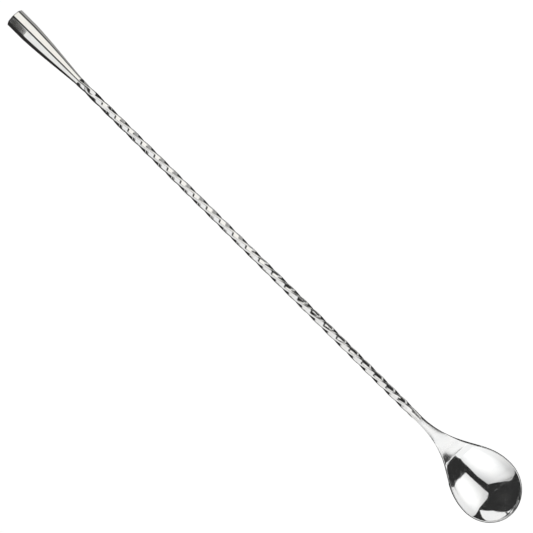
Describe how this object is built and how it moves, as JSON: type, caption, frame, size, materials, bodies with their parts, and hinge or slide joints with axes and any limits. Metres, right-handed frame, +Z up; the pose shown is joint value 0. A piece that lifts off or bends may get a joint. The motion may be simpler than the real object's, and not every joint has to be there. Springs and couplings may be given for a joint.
{
  "type": "bar spoon",
  "caption": "Long bar spoon with a teardrop bowl, a left-hand twisted square shank and an eight-sided tapered weight at the other end.",
  "frame": {"origin": "under the middle of the spoon's length, on the surface that the spoon lies on", "axes": "+X along the spoon from the weight to the bowl, +Z up out of the open bowl, +Y across the bowl"},
  "size_m": [0.3, 0.0288, 0.009],
  "materials": {
    "polished_steel_bowl": "mirror-polished stainless steel with faint buffing marks",
    "polished_steel_shank": "bright drawn and twisted stainless steel, polished",
    "polished_steel_weight": "turned and milled stainless steel, polished, with faint grinding lines along its faces"
  },
  "bodies": {
    "root": {"spoon_bowl": "polished_steel_bowl", "twisted_shank": "polished_steel_shank", "end_weight": "polished_steel_weight"}
  },
  "joints": []
}
